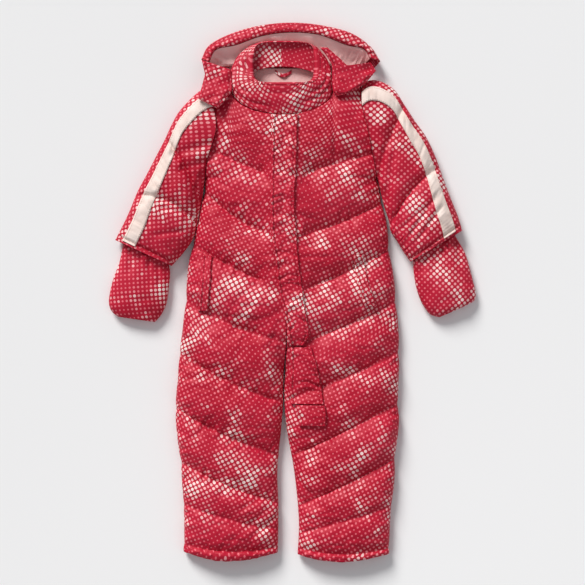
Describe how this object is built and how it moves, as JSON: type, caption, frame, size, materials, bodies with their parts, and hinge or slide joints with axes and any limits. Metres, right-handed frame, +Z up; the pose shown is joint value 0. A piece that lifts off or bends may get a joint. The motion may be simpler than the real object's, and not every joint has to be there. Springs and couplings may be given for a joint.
{
  "type": "baby snowsuit",
  "caption": "quilted baby snowsuit with folded-over mittens, stand collar and spread hood, lying flat on its back",
  "frame": {"origin": "middle of the outline, on the surface that the suit lies on", "axes": "+Z up from the surface, +Y towards the head, +X to the viewer's right, which is the wearer's left"},
  "size_m": [0.6218, 0.912, 0.0532],
  "materials": {
    "cloth": "smooth woven polyester with a low sheen, printed with pale dots on red, over soft wadding",
    "lining": "plain matt pale pink knitted lining",
    "tape": "cream woven tape, sewn flat"
  },
  "bodies": {
    "root": {"front_right": "cloth", "front_left": "cloth", "back_right": "cloth", "back_left": "cloth", "sleeve_right": "cloth", "sleeve_left": "cloth", "mitten_right": "cloth", "mitten_left": "cloth", "collar": "cloth", "placket": "cloth", "leg_placket": "cloth", "zip_end_patch": "cloth", "pocket_welt_right": "cloth", "pocket_welt_left": "cloth", "hood": "cloth", "hood_brim": "cloth", "hood_corner_right": "cloth", "hood_corner_left": "cloth", "hanger_loop": "cloth", "tape_right": "tape", "tape_left": "tape", "hood_lining": "lining", "neck_lining": "lining"}
  },
  "joints": []
}
